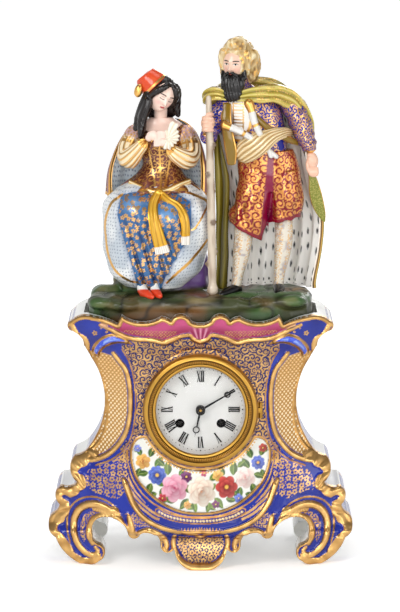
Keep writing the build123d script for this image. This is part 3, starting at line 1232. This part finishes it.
def fall_section(row, fold):
    """Closed level section of a folded hanging sheet, round the back from side to side."""
    height, x, y, wide, deep = (share * FIGURE_HEIGHT for share in row)
    edge = []
    for inner in (0, 1):
        line = []
        for step in range(FOLD_COUNT * 4 + 1):
            share = step / (FOLD_COUNT * 4)
            turn = math.radians(FALL_FROM + (360 - 2 * FALL_FROM) * share)
            push = fold * math.sin(2 * math.pi * FOLD_COUNT * share) - inner * CLOAK_WALL
            line.append((x + (wide + push) * math.sin(turn), y - (deep + push) * math.cos(turn)))
        edge += line if inner == 0 else line[::-1]
    with BuildSketch(Plane.XY.offset(ROCK_TOP + height)) as face:
        with BuildLine():
            Polyline(*edge, close=True)
        make_face()
    return face.sketch


def cut_by(*others):
    for other in others:
        add(other.part, mode=Mode.SUBTRACT)


with BuildPart() as rock_base:
    levels = []
    for rise, scale in rock_level_shares:
        with BuildSketch(Plane.XY.offset(ROCK_BOTTOM + rise * (ROCK_TOP - ROCK_BOTTOM))) as face:
            with BuildLine():
                Polyline(*[(x * scale * ROCK_HALF_W, y * scale * ROCK_HALF_D) for x, y in rock_edge_shares], close=True)
            make_face()
        levels.append(face.sketch)
    loft(sections=levels, ruled=True)
    level_loft(rock_seat_shares)
rock_base.part.label = "rock_base"
export_step(rock_base.part, "parts/rock_base.step")

# Seated figure, from the skirt up
with BuildPart() as seated_skirt:
    level_loft(skirt_shares)
    cut_by(rock_base)
seated_skirt.part.label = "seated_skirt"
export_step(seated_skirt.part, "parts/seated_skirt.step")

with BuildPart() as seated_shoes:
    limb(seated_foot_left_shares)
    limb(seated_foot_right_shares)
    cut_by(rock_base, seated_skirt)
seated_shoes.part.label = "seated_shoes"
export_step(seated_shoes.part, "parts/seated_shoes.step")

with BuildPart() as seated_bodice:
    level_loft(bodice_shares)
    cut_by(seated_skirt)
seated_bodice.part.label = "seated_bodice"
export_step(seated_bodice.part, "parts/seated_bodice.step")

with BuildPart() as seated_head:
    level_loft(seated_head_shares)
    cut_by(seated_bodice)
seated_head.part.label = "seated_head"
export_step(seated_head.part, "parts/seated_head.step")

with BuildPart() as seated_hair:
    level_loft(hair_shares)
    level_loft(face_opening_shares, Mode.SUBTRACT)
    limb(left_ringlet_shares)
    limb(front_ringlet_shares)
    cut_by(seated_head, seated_bodice)
seated_hair.part.label = "seated_hair"
export_step(seated_hair.part, "parts/seated_hair.step")

with BuildPart() as seated_fez:
    limb(fez_shares)
    limb(tassel_shares)
    cut_by(seated_head, seated_hair)
seated_fez.part.label = "seated_fez"
export_step(seated_fez.part, "parts/seated_fez.step")

with BuildPart() as seated_arms:
    limb(seated_arm_left_shares, ruled=True)
    limb(seated_arm_right_shares, ruled=True)
    level_loft(kerchief_shares)
    cut_by(seated_bodice, seated_hair)
seated_arms.part.label = "seated_arms"
export_step(seated_arms.part, "parts/seated_arms.step")

with BuildPart() as seated_cape:
    level_loft(cape_shares, ruled=True)
    level_loft(cape_lining_shares, Mode.SUBTRACT, ruled=True)
    cut_by(seated_bodice, seated_skirt, seated_hair, seated_arms, seated_head)
seated_cape.part.label = "seated_cape"
export_step(seated_cape.part, "parts/seated_cape.step")

with BuildPart() as seated_sash:
    limb(sash_fall_left_shares)
    limb(sash_fall_right_shares)
    cut_by(seated_skirt, seated_bodice)
seated_sash.part.label = "seated_sash"
export_step(seated_sash.part, "parts/seated_sash.step")

# Standing figure, from the shoes up
with BuildPart() as standing_legs:
    limb(leg_left_shares)
    limb(leg_right_shares)
    limb(shoe_left_shares)
    limb(shoe_right_shares)
    cut_by(rock_base)
standing_legs.part.label = "standing_legs"
export_step(standing_legs.part, "parts/standing_legs.step")

with BuildPart() as standing_breeches:
    level_loft(hips_shares)
    limb(breeches_left_shares)
    limb(breeches_right_shares)
    cut_by(standing_legs)
standing_breeches.part.label = "standing_breeches"
export_step(standing_breeches.part, "parts/standing_breeches.step")

with BuildPart() as standing_jacket:
    level_loft(jacket_shares)
    cut_by(standing_breeches)
standing_jacket.part.label = "standing_jacket"
export_step(standing_jacket.part, "parts/standing_jacket.step")

with BuildPart() as standing_pistols:
    limb(pistol_low_shares)
    limb(pistol_high_shares)
    cut_by(standing_jacket, standing_breeches)
standing_pistols.part.label = "standing_pistols"
export_step(standing_pistols.part, "parts/standing_pistols.step")

with BuildPart() as waist_sash:
    level_loft(waist_sash_shares)
    cut_by(standing_jacket, standing_breeches, standing_pistols)
waist_sash.part.label = "waist_sash"
export_step(waist_sash.part, "parts/waist_sash.step")

with BuildPart() as standing_head:
    level_loft(standing_head_shares)
    cut_by(standing_jacket)
standing_head.part.label = "standing_head"
export_step(standing_head.part, "parts/standing_head.step")

with BuildPart() as standing_staff:
    limb(staff_shares, ruled=True)
    cut_by(rock_base)
standing_staff.part.label = "standing_staff"
export_step(standing_staff.part, "parts/standing_staff.step")

with BuildPart() as standing_arms:
    limb(standing_arm_right_shares, ruled=True)
    limb(standing_arm_left_shares, ruled=True)
    cut_by(standing_jacket, standing_staff, standing_head)
standing_arms.part.label = "standing_arms"
export_step(standing_arms.part, "parts/standing_arms.step")

with BuildPart() as standing_cloak:
    level_loft(cloak_shares, ruled=True)
    level_loft(cloak_lining_shares, Mode.SUBTRACT, ruled=True)
    loft(sections=[fall_section(row, fold) for row, fold in zip(cloak_fall_shares, fold_depths)], ruled=True)
    cut_by(standing_jacket, standing_breeches, standing_legs, standing_arms, standing_head, waist_sash)
cloak = standing_cloak.part.solids().sort_by(SortBy.VOLUME)[-1]
cloak.label = "standing_cloak"
export_step(cloak, "parts/standing_cloak.step")

with BuildPart() as standing_headcloth:
    level_loft(headcloth_shares)
    level_loft(brow_opening_shares, Mode.SUBTRACT)
    cut_by(standing_head, standing_cloak, standing_jacket)
standing_headcloth.part.label = "standing_headcloth"
export_step(standing_headcloth.part, "parts/standing_headcloth.step")
